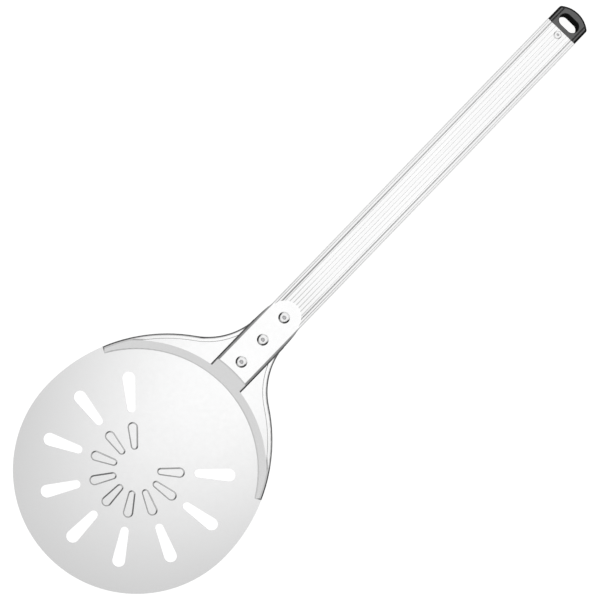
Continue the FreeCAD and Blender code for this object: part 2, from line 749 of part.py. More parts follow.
def cut_slots(body):
    sketch = teardrop_sketch(body, "slot_outline", 0.0, dim.slot_c_in, dim.slot_r_in,
                             dim.slot_c_out, dim.slot_r_out)
    slot = pocket(body, "slot", sketch, 10.0, midplane=True)
    round_the_blade(body, "slots", slot)


def press_ribs(body):
    """Ribs raised on top and hollow below, with their edges softened."""
    sketch = teardrop_sketch(body, "rib_outline", dim.sheet, dim.rib_c_in, dim.rib_r_in,
                             dim.rib_c_out, dim.rib_r_out)
    rib = pad(body, "rib", sketch, dim.rib_rise, taper=-dim.rib_lean)
    round_the_blade(body, "ribs", rib)
    sketch = teardrop_sketch(body, "recess_outline", 0.0,
                             dim.rib_c_in, dim.rib_r_in - dim.rib_inset,
                             dim.rib_c_out, dim.rib_r_out - dim.rib_inset)
    recess = pocket(body, "rib_recess", sketch, dim.rib_rise, reverse=True,
                    taper=-dim.rib_lean)
    recesses = round_the_blade(body, "rib_recesses", recess)
    ribbed_r = 45.0  # radius that takes in the ribs and stays inside the slots
    edges = []
    for z in (dim.sheet + dim.rib_rise, dim.sheet, 0.0, dim.rib_rise):

        def rib_edge(edge):
            box, centre = edge.BoundBox, edge.CenterOfMass
            level = abs(box.ZMin - z) <= 1e-4 and abs(box.ZMax - z) <= 1e-4
            return level and math.hypot(centre.x, centre.y) < ribbed_r

        edges += edges_where(recesses.Shape, rib_edge)
    fillet(body, "rib_bends", recesses, edges, dim.rib_soft)


NECK_RIVETS = [dim.rivet_x + dim.rivet_pitch * k for k in range(3)]


def blade_head():
    pressing = blade_pressing()
    body = new_body("blade_head")
    body.BaseFeature = pressing
    doc.recompute()
    trim_side_walls(body)
    round_tongue(body)
    cut_slots(body)
    press_ribs(body)
    holes(body, "rivet_holes", NECK_RIVETS, dim.rivet_hole_r, dim.chan_top, 4.0)
    return body


# --------------------------------------------------------------------------
# handle extrusion
# --------------------------------------------------------------------------
def handle_tube():
    body = new_body("handle_tube")
    start, wall = dim.tube_start, dim.tube_wall
    sketch = new_sketch(body, "tube_section", "YZ_Plane", start)
    rounded_box(sketch, dim.tube_half, 0.0, dim.tube_h, dim.tube_r)
    pad(body, "tube_bar", sketch, dim.tube_end - start)
    sketch = new_sketch(body, "tube_bore_section", "YZ_Plane", start)
    rounded_box(sketch, dim.tube_half - wall, wall, dim.tube_h - wall, dim.bore_r)
    pocket(body, "tube_bore", sketch, TUBE_CUT, reverse=True)
    sketch = new_sketch(body, "tube_grooves_section", "YZ_Plane", start)
    fine = [dim.groove_pitch * k for k in range(4)] + [dim.corner_line_y]
    groove_circles(sketch, fine, dim.groove_rad, dim.groove_depth, 0.0, dim.tube_h)
    groove_circles(sketch, [dim.edge_groove_y], dim.edge_groove_rad,
                   dim.edge_groove_depth, 0.0, dim.tube_h)
    doc.recompute()
    pocket(body, "tube_grooves", sketch, TUBE_CUT, reverse=True)
    holes(body, "tube_rivet_holes", NECK_RIVETS, dim.rivet_hole_r, dim.tube_h, 4.0)
    holes(body, "tube_cap_rivet_hole", [dim.cap_rivet_x], dim.cap_rivet_hole_r,
          dim.tube_h, 4.0)
    return body


# --------------------------------------------------------------------------
# end cap
# --------------------------------------------------------------------------
def cap_rim_edge(edge):
    """Edges of the upper and lower faces, except along the handle's end."""
    box = edge.BoundBox
    return box.ZLength < 1e-3 and box.XMax > dim.tube_end + 1e-2


def cap_slot_edge(edge):
    """Rims of the hanging slot."""
    box = edge.BoundBox
    reach_x, reach_y = dim.cap_slot_w / 2 + 0.1, dim.cap_slot_l / 2 + 0.1
    return (
        box.ZMax - box.ZMin < 1e-4
        and box.XMin > dim.cap_slot_x - reach_x
        and box.XMax < dim.cap_slot_x + reach_x
        and abs(box.YMax) < reach_y
        and abs(box.YMin) < reach_y
    )


def cap_block(body):
    """Rounded block behind the handle's end."""
    start, half = dim.tube_end, dim.cap_half
    nose_r, corner_r = dim.cap_nose_r, dim.cap_corner_r
    nose_x = dim.cap_end - nose_r
    corner_y = half - corner_r
    corner_x = float(nose_x) + math.sqrt((nose_r - corner_r) ** 2 - corner_y**2)
    angle = math.degrees(math.atan2(corner_y, corner_x - float(nose_x)))
    sketch = new_sketch(body, "cap_plan", "XY_Plane", dim.cap_z)
    front = line(sketch, (start, half), (start, -half))
    side_down = line(sketch, (start, -half), (corner_x, -half))
    corner_down = arc(sketch, (corner_x, -corner_y), corner_r, 270, 360 - angle)
    nose = arc(sketch, (nose_x, 0), nose_r, -angle, angle)
    corner_up = arc(sketch, (corner_x, corner_y), corner_r, angle, 90)
    side_up = line(sketch, (corner_x, half), (start, half))
    chain(sketch, "Coincident", side_up, front, side_down)
    chain(sketch, "Tangent", side_down, corner_down, nose, corner_up, side_up)
    align(sketch, horizontal=[side_down, side_up], vertical=[front])
    rule(sketch, "Equal", corner_down, corner_up)
    rule(sketch, "PointOnObject", nose, 3, -1)
    place(sketch, "X", front, 1, start)
    place(sketch, "Y", front, 1, half)
    place(sketch, "Y", front, 2, -half)
    drive(sketch, nose_r, "Radius", nose)
    drive(sketch, corner_r, "Radius", corner_up)
    place(sketch, "X", nose, 3, nose_x)
    doc.recompute()
    block = pad(body, "cap_block", sketch, dim.cap_h)
    fillet(body, "cap_round", block, edges_where(block.Shape, cap_rim_edge), dim.cap_r)


def cap_slot(body):
    """Hanging slot, long across the handle."""
    x, radius = dim.cap_slot_x, dim.cap_slot_w / 2
    end_y = dim.cap_slot_l / 2 - radius
    sketch = new_sketch(body, "cap_slot_plan", "XY_Plane")
    end_up = arc(sketch, (x, end_y), radius, 0, 180)
    end_down = arc(sketch, (x, -end_y), radius, 180, 360)
    near = line(sketch, (x - radius, end_y), (x - radius, -end_y))
    far = line(sketch, (x + radius, -end_y), (x + radius, end_y))
    chain(sketch, "Tangent", end_up, near, end_down, far, end_up)
    align(sketch, vertical=[near])
    rule(sketch, "Equal", end_up, end_down)
    drive(sketch, radius, "Radius", end_up)
    place(sketch, "X", end_up, 3, x)
    place(sketch, "Y", end_up, 3, end_y)
    place(sketch, "Y", end_down, 3, -end_y)
    doc.recompute()
    slot = pocket(body, "cap_slot", sketch, TRIM_DEPTH, midplane=True)
    fillet(body, "cap_slot_round", slot, edges_where(slot.Shape, cap_slot_edge),
           dim.cap_slot_soft)


def cap_plug(body):
    """Hollow plug that fills the handle's bore."""
    outer = dim.tube_wall + dim.plug_gap
    inner = outer + dim.plug_wall
    sketch = new_sketch(body, "plug_section", "YZ_Plane", dim.tube_end)
    rounded_box(sketch, dim.tube_half - outer, outer, dim.tube_h - outer, dim.plug_r)
    pad(body, "plug", sketch, dim.plug_len, reverse=True)
    sketch = new_sketch(body, "plug_core_section", "YZ_Plane", dim.tube_end - dim.plug_len)
    rounded_box(sketch, dim.tube_half - inner, inner, dim.tube_h - inner,
                dim.plug_r - dim.plug_wall)
    pocket(body, "plug_core", sketch, dim.plug_len, reverse=True)


def end_cap():
    body = new_body("end_cap")
    cap_block(body)
    # grooves along the upper and lower faces
    sketch = new_sketch(body, "cap_grooves_section", "YZ_Plane", dim.tube_end)
    groove_circles(sketch, [dim.cap_groove_y], dim.edge_groove_rad, dim.cap_groove_depth,
                   dim.cap_z, dim.cap_z + dim.cap_h)
    doc.recompute()
    pocket(body, "cap_grooves", sketch, TRIM_DEPTH, reverse=True)
    cap_slot(body)
    cap_plug(body)
    holes(body, "plug_rivet_hole", [dim.cap_rivet_x], dim.cap_rivet_hole_r,
          dim.tube_h, 5.5)
    return body


# --------------------------------------------------------------------------
# blind rivets: a headed hollow body and the spent pin left inside it
# --------------------------------------------------------------------------
SEAT_GAP = 0.03  # clearance under the bulge and under the pin's head


def half_section(body, points, horizontal, vertical):
    """Closed half section in XZ. Side k runs from point k to the next one."""
    sketch = new_sketch(body, body.Label + "_half", "XZ_Plane")
    sides = polygon(sketch, points)
    align(sketch, [sides[k] for k in horizontal], [sides[k] for k in vertical])
    return sketch, sides


def turn_and_seat(body, sketch, x, z):
    """Turn the half section and stand the piece on the X-Z plane at x, z."""
    doc.recompute()
    turned(body, "Revolution", body.Label + "_turned", sketch)
    doc.recompute()
    body.Placement = FreeCAD.Placement(Vector(x, 0, z), FreeCAD.Rotation())
    body.setExpression("Placement.Base.x", x.text)
    body.setExpression("Placement.Base.z", z.text)
    doc.recompute()


def blind_rivet(label, pin_label, x, z, head_r, shank_r, grip):
    """Rivet whose head rests at height z. Its proportions follow the shank of a neck rivet."""
    scale = float(shank_r) / float(dim.rivet_shank_r)
    head, shank, depth = float(head_r), float(shank_r), float(grip)
    bore, pin_r = 1.4 * scale, 1.35 * scale
    rim, crown, flank = 0.25 * scale, 1.25 * scale, 0.95 * scale
    tail = depth + 3.3 * scale
    bulge = shank + 1.2 * scale
    seat = -depth - SEAT_GAP

    body = new_body(label)
    sketch, sides = half_section(body, [
        (bore, crown - 0.1 * scale),
        (bore, -tail),
        (shank - 0.1 * scale, -tail),
        (bulge, -depth - 1.0 * scale),
        (bulge, seat),
        (shank, seat),
        (shank, 0.0),
        (head, 0.0),
        (head, rim),
        (head - flank, crown),
        (bore + 0.55 * scale, crown + 0.04 * scale),
        (bore + 0.1 * scale, crown - 0.02 * scale),
    ], horizontal=(1, 4, 6), vertical=(0, 3, 5, 7))
    rule(sketch, "PointOnObject", sides[6], 1, -1)
    place(sketch, "X", sides[6], 2, head_r)
    place(sketch, "X", sides[6], 1, shank_r)
    place(sketch, "Y", sides[5], 1, -(grip + SEAT_GAP))
    turn_and_seat(body, sketch, x, z)

    pin = new_body(pin_label)
    pin_head = shank - 0.25 * scale
    pin_end = -tail - 1.6 * scale
    sketch, sides = half_section(pin, [
        (0.0, crown - 0.25 * scale),
        (0.0, pin_end),
        (shank - 1.0 * scale, pin_end),
        (pin_head, -tail - 0.9 * scale),
        (pin_head, -tail - SEAT_GAP),
        (pin_r, -tail - SEAT_GAP),
        (pin_r, crown - 0.45 * scale),
        (pin_r - 0.25 * scale, crown - 0.25 * scale),
    ], horizontal=(1, 4, 7), vertical=(3, 5))
    join(sketch, "PointOnObject", (sides[0], 1, -2), (sides[0], 2, -2))
    turn_and_seat(pin, sketch, x, z)
    return [body, pin]


def all_rivets():
    rivets = []
    for k, x in enumerate(NECK_RIVETS, start=1):
        rivets += blind_rivet(
            f"neck_rivet_{k}", f"neck_rivet_pin_{k}", x, dim.chan_top,
            dim.rivet_head_r, dim.rivet_shank_r,
            grip=dim.chan_top - dim.tube_h + dim.tube_wall)
    rivets += blind_rivet(
        "cap_rivet", "cap_rivet_pin", dim.cap_rivet_x, dim.tube_h,
        dim.cap_rivet_head_r, dim.cap_rivet_shank_r,
        grip=dim.tube_wall + dim.plug_gap + dim.plug_wall)
    return rivets


# --------------------------------------------------------------------------
# build and export
# --------------------------------------------------------------------------
pieces = [blade_head(), handle_tube(), end_cap()] + all_rivets()
doc.recompute()
for item in doc.Objects:
    if "Invalid" in item.State or "Error" in item.State:
        raise RuntimeError(f"{item.Name} {item.State}")
for piece in pieces:
    shape = piece.Shape
    if shape.isNull() or not shape.isValid() or len(shape.Solids) != 1:
        raise RuntimeError(f"{piece.Label} has a bad shape")

os.makedirs("parts", exist_ok=True)
for piece in pieces:
    piece.Shape.exportStep(f"parts/{piece.Label}.step")
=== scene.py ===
"""A pressed sheet blade on a long tube handle with a plastic end cap, held by rivets.

It lies flat: the blade is round the origin, the handle runs along +X to the cap,
Y is across and Z is up. Each function below gives one part its look.
"""
import json
import math

import bpy
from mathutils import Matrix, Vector

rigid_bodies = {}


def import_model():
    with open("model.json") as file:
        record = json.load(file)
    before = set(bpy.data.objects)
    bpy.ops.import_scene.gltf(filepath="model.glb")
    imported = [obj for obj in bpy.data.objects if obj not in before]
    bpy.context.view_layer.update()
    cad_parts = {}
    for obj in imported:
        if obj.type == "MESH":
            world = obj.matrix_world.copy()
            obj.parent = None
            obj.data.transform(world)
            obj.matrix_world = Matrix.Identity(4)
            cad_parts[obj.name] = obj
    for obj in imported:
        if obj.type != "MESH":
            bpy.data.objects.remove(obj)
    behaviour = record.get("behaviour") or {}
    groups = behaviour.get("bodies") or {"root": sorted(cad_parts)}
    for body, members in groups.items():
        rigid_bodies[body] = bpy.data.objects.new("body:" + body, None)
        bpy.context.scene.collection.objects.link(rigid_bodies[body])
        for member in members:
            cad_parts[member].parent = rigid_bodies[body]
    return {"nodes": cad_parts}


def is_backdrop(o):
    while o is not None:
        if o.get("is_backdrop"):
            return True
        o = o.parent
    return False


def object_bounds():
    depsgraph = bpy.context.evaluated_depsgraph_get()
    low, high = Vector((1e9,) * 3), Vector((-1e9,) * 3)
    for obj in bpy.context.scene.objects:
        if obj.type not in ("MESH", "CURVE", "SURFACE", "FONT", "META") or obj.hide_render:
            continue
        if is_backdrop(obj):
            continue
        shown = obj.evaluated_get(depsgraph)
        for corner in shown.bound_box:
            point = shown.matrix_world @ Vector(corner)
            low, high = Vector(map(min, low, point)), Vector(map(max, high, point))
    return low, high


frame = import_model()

cad_box = [list(v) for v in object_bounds()]
pieces = frame["nodes"]
scene = bpy.context.scene

for obj in list(scene.objects):
    if obj.type in {"CAMERA", "LIGHT"} or (obj.type == "MESH" and obj.name not in pieces):
        bpy.data.objects.remove(obj)

SATIN_ROUGH = 0.17        # base roughness of the blade and the handle
METAL_RELIEF = 0.00003    # bump depth of the fine grain on bright metal
NOISE_SPAN = (0.3, 0.7)   # where most noise values fall
WHITE = (1, 1, 1, 1)

GROOVE_PITCH = 0.003035   # between the handle's narrow grooves, across Y
WIDE_GROOVE_Y = 0.01065   # middle of each wide groove, either side of the handle
WIDE_HALO_Y = 0.01045     # middle of the painted shade spread beside it
HAIRLINE_Y = 0.01300      # the painted dark line outside it
CAP_X = 0.5068            # middle of the end cap

FLOOR_X = 0.2
FLOOR_Z = -0.0002
FLOOR_RADIUS = 12.0
FLOOR_SIDES = 96


# ---------------------------------------------------------------------------
# shader helpers
# ---------------------------------------------------------------------------
def grey(level, blue=None):
    return (level, level, blue or level, 1.0)


def add_node(tree, kind, inputs=(), **props):
    """Add a node; inputs that are Values are linked and the others are set."""
    node = tree.nodes.new(kind)
    for name, setting in props.items():
        setattr(node, name, setting)
    for key, given in dict(inputs).items():
        if isinstance(given, Value):
            tree.links.new(given.socket, node.inputs[key])
        else:
            node.inputs[key].default_value = given
    return node


def add_value(tree, kind, inputs=(), output=0, **props):
    """Add a node and return one of its outputs."""
    return Value(tree, add_node(tree, kind, inputs, **props).outputs[output])


class Value:
    """A shader node's output; arithmetic and methods on it add further nodes."""

    def __init__(self, tree, socket):
        self.tree = tree
        self.socket = socket

    def calc(self, operation, *terms):
        inputs = dict(enumerate(terms))
        return add_value(self.tree, "ShaderNodeMath", inputs, operation=operation)

    def __add__(self, other):
        return self.calc("ADD", self, other)

    def __radd__(self, other):
        return self.calc("ADD", other, self)

    def __sub__(self, other):
        return self.calc("SUBTRACT", self, other)

    def __rsub__(self, other):
        return self.calc("SUBTRACT", other, self)

    def __mul__(self, other):
        return self.calc("MULTIPLY", self, other)

    def __truediv__(self, other):
        return self.calc("DIVIDE", self, other)

    def __abs__(self):
        return self.calc("ABSOLUTE", self)

    def __round__(self):
        return self.calc("ROUND", self)

    def sign(self):
        return self.calc("SIGN", self)

    def sqrt(self):
        return self.calc("SQRT", self)

    def at_least(self, other):
        return self.calc("MAXIMUM", self, other)

    def lift(self, base, gain):
        return base + self * gain

    def map_range(self, kind, *limits):
        inputs = dict(enumerate((self, *limits)))
        return add_value(self.tree, "ShaderNodeMapRange", inputs, interpolation_type=kind)

    def smooth(self, start, end, first=0.0, last=1.0):
        """Ease from first to last while this goes from start to end."""
        return self.map_range("SMOOTHSTEP", start, end, first, last)

    def linear(self, start=0.0, end=1.0, first=0.0, last=1.0):
        return self.map_range("LINEAR", start, end, first, last)

    def spread(self, first=0.0, last=1.0):
        """Stretch a noise over first to last."""
        return self.linear(*NOISE_SPAN, first, last)

    def mix(self, base, other, amount=None):
        """Go from the base colour to the other one by this factor."""
        factor = self if amount is None else self * amount
        inputs = {0: factor, 6: base, 7: other}
        return add_value(self.tree, "ShaderNodeMix", inputs, output=2, data_type="RGBA")

    def xyz(self):
        split = add_node(self.tree, "ShaderNodeSeparateXYZ", {0: self})
        return [Value(self.tree, socket) for socket in split.outputs]

    def noise(self, scale, detail=2.0, rough=0.5):
        inputs = {"Vector": self, "Scale": scale, "Detail": detail, "Roughness": rough}
        return add_value(self.tree, "ShaderNodeTexNoise", inputs, "Fac", noise_dimensions="3D")

    def streaks(self, density, turn=0.0, detail=2.0, rough=0.5):
        """Noise with its own density along each axis, turned about Z."""
        inputs = {"Vector": self, "Scale": density, "Rotation": (0, 0, turn)}
        mapped = add_value(self.tree, "ShaderNodeMapping", inputs)
        return mapped.noise(scale=1.0, detail=detail, rough=rough)

    def grain(self):
        return self.noise(scale=5200.0, rough=0.6)

    def bump(self, strength, depth=METAL_RELIEF):
        inputs = {"Strength": strength, "Distance": depth, "Height": self}
        return add_value(self.tree, "ShaderNodeBump", inputs)


def weigh(one, two, weights=(0.5, 0.5)):
    return one * weights[0] + two * weights[1]


def start_material(name):
    """A material with an empty tree, and the object coordinates in it."""
    mat = bpy.data.materials.new(name)
    mat.use_nodes = True
    tree = mat.node_tree
    tree.nodes.clear()
    return mat, tree, add_value(tree, "ShaderNodeTexCoord", output="Object")


def finish_material(mat, color, rough, **others):
    """Close the tree with one principled shader."""
    inputs = {"Base Color": color, "Roughness": rough}
    inputs.update({name.replace("_", " "): given for name, given in others.items()})
    shader = add_value(mat.node_tree, "ShaderNodeBsdfPrincipled", inputs)
    add_node(mat.node_tree, "ShaderNodeOutputMaterial", {0: shader})
    return mat


def surface_normal(tree):
    return add_value(tree, "ShaderNodeNewGeometry", output="Normal")


def edge_wear(tree, radius):
    """1 where the surface turns sharply within the radius, 0 on open faces."""
    rounded = add_value(tree, "ShaderNodeBevel", {"Radius": radius}, samples=4)
    inputs = {0: rounded, 1: surface_normal(tree)}
    match = add_value(tree, "ShaderNodeVectorMath", inputs, "Value", operation="DOT_PRODUCT")
    return match.smooth(start=0.995, end=0.90)


# ---------------------------------------------------------------------------
# blade: satin anodised sheet, finely grained, with faint handling marks
# ---------------------------------------------------------------------------
def blade_painted_shade(tree, place, mottle):
    """Masks for the painted shade on the bends, the painted black shade and its blackest stretch.
    """
    x, y, z = place.xyz()
    face_x, face_y, face_z = surface_normal(tree).xyz()
    radius = (x * x + y * y).sqrt()
    off_axis = abs(y)
    outward = face_y * y.sign()
    # sine of the surface's lean; a little over 1 keeps the root real
    tilt = (1.0001 - face_z * face_z).sqrt()

    # painted shade along the bends of the pressed ribs
    bend_shade = abs(face_z).smooth(start=0.985, end=0.90) * radius.smooth(start=0.048, end=0.046)
    bend_shade = bend_shade * mottle.spread(first=0.55, last=0.75)

    # painted shade on the easy bends that lean outwards, strongest on the channel's shoulders
    raised = z.smooth(start=0.0028, end=0.0036) * outward.smooth(start=0.02, end=0.10)
    upward = face_z.smooth(start=0.04, end=0.14)
    channel = off_axis.smooth(start=0.0180, end=0.0174)
    easy = tilt.smooth(start=0.03, end=0.14) * (upward * raised)
    easy = easy * channel.linear(first=0.15, last=1.0)
    easy = easy * mottle.spread(first=0.60, last=0.80)

    # painted shade on the small step inside the rim
    step = outward.smooth(start=-0.12, end=-0.35) * z.smooth(start=0.00700, end=0.00705)
    step = step * z.smooth(start=0.00760, end=0.00750)
    step = step * mottle.spread(first=0.60, last=0.85)
    bend_shade = bend_shade.at_least(easy.at_least(step))

    # painted black shade where the sheet turns over to the outside, wider towards -X
    widening = 0.26
    fade = 0.20
    tips = x.smooth(start=0.090, end=0.056)
    clean = channel.linear(first=0.46, last=0.52) - tips * widening
    black_shade = tilt.smooth(start=clean, end=clean + fade) * (upward * raised)

    # and painted black shade on the rim where it faces -X and outwards
    facing = weigh(face_x, outward, weights=(-0.862, 0.508))
    curl = facing.smooth(start=0.45, end=0.70) * radius.smooth(start=0.0985, end=0.0998)
    curl = curl * (x.smooth(start=0.056, end=0.054) * z.smooth(start=0.0013, end=0.0018))
    black_shade = black_shade.at_least(curl)

    # and painted black shade where the channel's shoulders run down the ramp that faces -X
    down = off_axis.smooth(start=0.0150, end=0.0165) * off_axis.smooth(start=0.0176, end=0.0172)
    down = down * (z.smooth(start=0.0068, end=0.0073) * face_x.smooth(start=-0.15, end=-0.35))
    black_shade = black_shade.at_least(down) * mottle.spread(first=0.80, last=0.95)

    # darkest painted shade where the lip runs into the channel's shoulder
    pocket = x.smooth(start=0.088, end=0.104) * x.smooth(start=0.146, end=0.128)
    return bend_shade, black_shade, black_shade * pocket


def blade_material():
    mat, tree, place = start_material("blade_satin")
    cloud = place.noise(scale=9.0, detail=3.0, rough=0.55)
    mottle = place.noise(scale=260.0, detail=3.0, rough=0.6)
    wear = edge_wear(tree, radius=0.0006)
    # sparse hairline scuffs in two directions
    scuff_a = place.streaks(density=(14, 900, 900), turn=0.35).smooth(start=0.70, end=0.80)
    scuff_b = place.streaks(density=(900, 20, 900), turn=-0.5).smooth(start=0.71, end=0.81)
    bend_shade, black_shade, blackest_shade = blade_painted_shade(tree, place, mottle)

    color = cloud.spread().mix(grey(0.905, blue=0.907), grey(0.930, blue=0.931))
    color = scuff_a.at_least(scuff_b).mix(color, grey(0.97), amount=0.20)
    color = wear.mix(color, grey(0.98), amount=0.25)
    # painted shade on the bends, in grey
    color = bend_shade.mix(color, grey(0.36))
    # painted black shade on the rim, at the tips and on the ramps
    color = black_shade.mix(color, grey(0.085))
    # the blackest painted shade, at the neck
    color = blackest_shade.mix(color, grey(0.035))

    # the painted shade masks also dull the sheet, and wear polishes it
    dulling = 0.12
    polish = 0.08
    rough = SATIN_ROUGH + mottle.spread(first=-0.012, last=0.012)
    rough = rough + bend_shade.at_least(black_shade) * dulling
    rough = rough + cloud.spread(first=-0.015, last=0.015) - wear * polish
    normal = weigh(place.grain(), mottle).bump(strength=0.12)
    return finish_material(mat, color, rough, Metallic=1.0, Normal=normal)


# ---------------------------------------------------------------------------
# handle: satin anodised extrusion, die lines along its length
# ---------------------------------------------------------------------------
def handle_painted_shade(x, y, face_z, off_axis, wander, neck):
    """Mask for the painted shade in the narrow grooves, as a thin dark film and in the wide
    grooves.
    """
    # painted shade in the narrow grooves, only towards the blade
    turn = y / GROOVE_PITCH
    off_groove = abs(turn - round(turn)) * GROOVE_PITCH
    off_groove = off_groove + wander.spread(first=-0.00008, last=0.00008)
    groove_shade = off_groove.smooth(start=0.00095, end=0.00040) * abs(y).smooth(start=0.0108, end=0.0100)
    groove_shade = groove_shade * face_z.smooth(start=0.2, end=0.6)
    groove_shade = groove_shade * x.smooth(start=0.230, end=0.190, last=0.30)

    # a thin painted dark film, heavier outside the wide grooves and on the hairline
    land_shade = off_groove.smooth(start=0.0004, end=0.0009, last=0.08)
    land_shade = land_shade * off_axis.smooth(start=0.0112, end=0.0108)
    land_shade = land_shade.at_least(off_axis.smooth(start=0.0110, end=0.0114, last=0.17))
    hairline = abs(off_axis - HAIRLINE_Y).smooth(start=0.00050, end=0.00020)
    land_shade = land_shade.at_least(hairline * neck.lift(base=0.28, gain=0.42))
    line_shade = groove_shade.at_least(land_shade * wander.spread(first=0.85, last=1.15))

    # painted shade in the two wide grooves and spread beside them, heavier on the +Y side
    side = y.smooth(start=-0.001, end=0.001)
    near_blade = x.smooth(start=0.40, end=0.185)
    core = abs(off_axis - WIDE_GROOVE_Y).smooth(start=0.00070, end=0.00040)
    core = core * (near_blade * side.lift(base=0.28, gain=0.40))
    halo = side.lift(base=0.10, gain=0.16) * near_blade.lift(base=0.4, gain=0.6)
    halo = halo * abs(off_axis - WIDE_HALO_Y).smooth(start=0.00125, end=0.00080)
    return line_shade.at_least(core.at_least(halo) * face_z.smooth(start=0.2, end=0.6))


def handle_material():
    mat, tree, place = start_material("handle_satin")
    die_fine = place.streaks(density=(2.5, 2600, 2600), detail=3.0, rough=0.6)
    die_broad = place.streaks(density=(6, 700, 700))
    cloud = place.streaks(density=(5, 30, 30))
    wander = place.streaks(density=(60, 900, 900), detail=3.0, rough=0.6)
    wear = edge_wear(tree, radius=0.0006)
    x, y, _ = place.xyz()
    _, _, face_z = surface_normal(tree).xyz()
    off_axis = abs(y)
    neck = x.smooth(start=0.27, end=0.19)

    color = cloud.spread().mix(grey(0.905, blue=0.907), grey(0.935, blue=0.936))
    color = wear.mix(color, grey(0.94), amount=0.2)
    # painted shade along the handle's grooves and edges
    color = handle_painted_shade(x, y, face_z, off_axis, wander, neck).mix(color, grey(0.40))

    # the long corners are scuffed, which leaves them matt and pale
    corner = face_z.smooth(start=0.05, end=0.25) * face_z.smooth(start=0.99, end=0.93)
    scuffed = off_axis.smooth(start=0.01415, end=0.01445) * corner
    scuffed = scuffed * wander.spread(first=0.75, last=0.95)
    color = scuffed.mix(color, neck.mix(grey(0.77), grey(0.67)))

    scuff_matt = 0.35    # roughness added by the scuffs
    rough = SATIN_ROUGH + die_broad.spread(first=-0.02, last=0.02) + scuffed * scuff_matt
    normal = weigh(die_fine, place.grain(), weights=(0.7, 0.3)).bump(strength=0.15)
    return finish_material(mat, color, rough, Metallic=1.0 - scuffed, Normal=normal)


# ---------------------------------------------------------------------------
# cap: dark moulded plastic with spark-eroded texture, shinier at worn edges
# ---------------------------------------------------------------------------
def cap_material():
    mat, tree, place = start_material("cap_moulded")
    fine = place.noise(scale=3600.0, detail=3.0, rough=0.65)
    cells = add_value(tree, "ShaderNodeTexVoronoi", {"Vector": place, "Scale": 2300.0},
                      "Distance", feature="SMOOTH_F1")
    cloud = place.noise(scale=60.0, detail=3.0, rough=0.55)
    patch = place.noise(scale=520.0, detail=3.0, rough=0.65)
    wear = edge_wear(tree, radius=0.0005)
    x, y, _ = place.xyz()
    _, _, face_z = surface_normal(tree).xyz()

    # level faces carry a full sheen, the outer walls a weaker one
    level = abs(face_z).smooth(start=0.975, end=0.9992)
    outer = abs(y).smooth(start=0.0105, end=0.0110)
    outer = outer.at_least(abs(x - CAP_X).smooth(start=0.0070, end=0.0074))
    wall = abs(face_z).smooth(start=0.40, end=0.08) * outer
    wall_sheen = 0.6

    tone = cloud.spread(last=0.5) + patch.spread(last=0.5)
    level_color = tone.mix(grey(0.048, blue=0.049), grey(0.074, blue=0.075))
    # painted shade: the slot's inner walls and the rounded rims are painted near black, darker
    # than the outer walls
    color = level.mix(wall.mix(grey(0.010), grey(0.027)), level_color)

    base_rough = 0.36
    polish = 0.12    # roughness lost at worn edges
    rough = base_rough + fine.spread(first=-0.05, last=0.05) - wear * polish
    return finish_material(mat, color, rough,
                           Specular_IOR_Level=level.at_least(wall * wall_sheen),
                           Normal=weigh(fine, cells).bump(strength=0.35, depth=0.00006))


# ---------------------------------------------------------------------------
# rivets: bright rolled domes and plain steel pins
# ---------------------------------------------------------------------------
def rivet_material(name, center_x, head_radius, shade_strength):
    mat, tree, place = start_material(name)
    mottle = place.noise(scale=900.0, detail=3.0, rough=0.6)
    color = mottle.spread().mix(grey(0.90), grey(0.95))
    color = edge_wear(tree, radius=0.0003).mix(color, grey(0.98), amount=0.3)

    # painted shade: a dark crescent round the edge of the head, thickest towards +Y and -Y and
    # leaning to -X
    tiny = 1e-10    # keeps the divisions by the radius off zero
    x, y, _ = place.xyz()
    x = x - center_x
    radius = (x * x + y * y + tiny).sqrt()
    along = x / radius
    across = abs(y) / radius
    spot = weigh(along, across, weights=(-0.423, 0.906)).smooth(start=0.55, end=0.90)
    back = along.smooth(start=0.30, end=-0.40, first=0.10, last=0.50)
    ragged = radius + mottle.spread(first=-0.0001, last=0.0001)
    edge = ragged.smooth(start=0.61 * head_radius, end=0.76 * head_radius)
    crescent_shade = edge * spot.at_least(back) * shade_strength
    color = crescent_shade.mix(color, grey(0.07))

    dulling = 0.10    # roughness added where the crescent shade is painted
    rough = mottle.spread(first=0.20, last=0.27) + crescent_shade * dulling
    normal = place.grain().bump(strength=0.10)
    return finish_material(mat, color, rough, Metallic=1.0, Normal=normal)


def pin_material():
    mat, _, place = start_material("pin_steel")
    mottle = place.noise(scale=1400.0, detail=3.0, rough=0.6)
    stain = place.noise(scale=200.0).linear(start=0.4, end=0.7, last=0.3)
    color = mottle.spread().mix(grey(0.62, blue=0.63), grey(0.76, blue=0.77))
    color = stain.mix(color, (0.42, 0.41, 0.40, 1.0))
    rough = mottle.spread(first=0.34, last=0.46)
    normal = mottle.bump(strength=0.25, depth=0.00005)
    return finish_material(mat, color, rough, Metallic=1.0, Normal=normal)


def dress_pieces():
    looks = {
        "blade_head": blade_material(),
        "handle_tube": handle_material(),
        "end_cap": cap_material(),
    }
    pin = pin_material()
    for name, piece in pieces.items():
        mat = looks.get(name) or pin
        if "rivet" in name and "pin" not in name:
            xs = [(piece.matrix_world @ Vector(corner)).x for corner in piece.bound_box]
            # the cap's rivets get only a trace of the painted crescent shade
            mat = rivet_material("rivet_bright_" + name,
                                 center_x=(min(xs) + max(xs)) / 2,
                                 head_radius=(max(xs) - min(xs)) / 2,
                                 shade_strength=0.10 if name.startswith("cap") else 1.0)
        piece.data.materials.clear()
        piece.data.materials.append(mat)


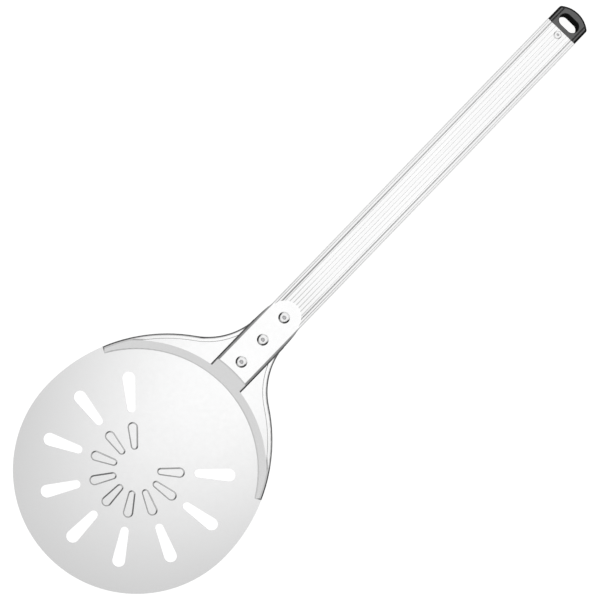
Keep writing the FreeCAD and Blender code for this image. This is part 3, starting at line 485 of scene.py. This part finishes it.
# ---------------------------------------------------------------------------
# floor: a wide glowing disc just below the piece
# ---------------------------------------------------------------------------
def floor_material():
    mat, tree, place = start_material("floor_lit")
    speck = place.noise(scale=40.0, detail=3.0, rough=0.6)
    # reflections see a weaker glow, so polished walls stay readable
    glossy = add_value(tree, "ShaderNodeLightPath", output="Is Glossy Ray")
    return finish_material(mat, speck.spread().mix(grey(0.155), grey(0.170)), rough=0.9,
                           Specular_IOR_Level=0.0, Emission_Color=WHITE,
                           Emission_Strength=glossy.linear(first=0.93, last=0.45))


def add_floor():
    mesh = bpy.data.meshes.new("floor")
    angles = [2 * math.pi * k / FLOOR_SIDES for k in range(FLOOR_SIDES)]
    verts = [(FLOOR_X + FLOOR_RADIUS * math.cos(a), FLOOR_RADIUS * math.sin(a), FLOOR_Z)
             for a in angles]
    mesh.from_pydata(verts, [], [list(range(FLOOR_SIDES))])
    floor = bpy.data.objects.new("floor", mesh)
    scene.collection.objects.link(floor)
    floor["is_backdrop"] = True
    mesh.materials.append(floor_material())


# ---------------------------------------------------------------------------
# studio light: a bright strip overhead, running out towards +X, in a paler tent,
# with a dark gap round the horizon that is lighter towards +X and -X
# ---------------------------------------------------------------------------
def studio_reflection(tree):
    """Brightness that reflections see in each direction."""
    strip, tent, plateau = 1.165, 0.29, 0.59    # strip, its surround, least level overhead
    strip_from, strip_to = -0.05, 0.50          # the strip's ends along X
    strip_narrowing = 1.71                      # how much faster it fades across Y
    flank_loss = 0.60                           # light lost towards +Y and -Y
    gap_level, east_gain, west_gain = 0.17, 0.77, 0.57    # in the gap; added at +X, -X
    gap_z, gap_rise = 0.09, 0.16                # the gap's middle; widening with Y

    x, y, z = add_value(tree, "ShaderNodeTexCoord", output="Generated").xyz()
    past_end = (strip_from - x).at_least(x - strip_to).at_least(0.0)
    aside = y * strip_narrowing
    off_strip = (past_end * past_end + aside * aside).sqrt()
    top = off_strip.smooth(start=0.060, end=0.430, first=strip, last=tent).at_least(plateau)
    flank = abs(y).smooth(start=0.40, end=0.80)
    top = top * (1.0 - flank * flank_loss)

    east = x.smooth(start=0.42, end=0.72)
    west = x.smooth(start=-0.15, end=-0.60)
    horizon = gap_level + (east * east_gain + west * west_gain)
    off_gap = abs(z - gap_z) - abs(y) * gap_rise
    gap = off_gap.smooth(start=0.20, end=0.42, first=1.0, last=0.0)
    return top * (1.0 - gap) + horizon * gap


def add_world():
    world = bpy.data.worlds.new("studio")
    scene.world = world
    world.use_nodes = True
    tree = world.node_tree
    tree.nodes.clear()

    def background(strength):
        inputs = {"Color": WHITE, "Strength": strength}
        return add_value(tree, "ShaderNodeBackground", inputs)

    # reflections see the studio; diffuse rays and the camera see even white
    ray = add_node(tree, "ShaderNodeLightPath").outputs
    shader = background(studio_reflection(tree))
    for kind, strength in (("Is Diffuse Ray", 1.10), ("Is Camera Ray", 0.98)):
        inputs = {0: Value(tree, ray[kind]), 1: shader, 2: background(strength)}
        shader = add_value(tree, "ShaderNodeMixShader", inputs)
    add_node(tree, "ShaderNodeOutputWorld", {0: shader})


# ---------------------------------------------------------------------------
# camera: straight above, the handle running to the upper right
# ---------------------------------------------------------------------------
def add_camera():
    lens = bpy.data.cameras.new("camera")
    lens.sensor_width = 36.0
    lens.lens = 67.6
    lens.clip_start = 0.01
    lens.clip_end = 50.0
    camera = bpy.data.objects.new("camera", lens)
    scene.collection.objects.link(camera)
    camera.location = (0.1937, 0.00075, 0.9262)
    camera.rotation_euler = (0.0, 0.0, math.radians(-45.95))
    scene.camera = camera


dress_pieces()
add_floor()
add_world()
scene.view_settings.view_transform = "Standard"
scene.view_settings.look = "None"
scene.view_settings.exposure = 0.0
scene.view_settings.gamma = 1.0
add_camera()

visual_box = [list(v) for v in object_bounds()]
{"cad": cad_box, "visual": visual_box}
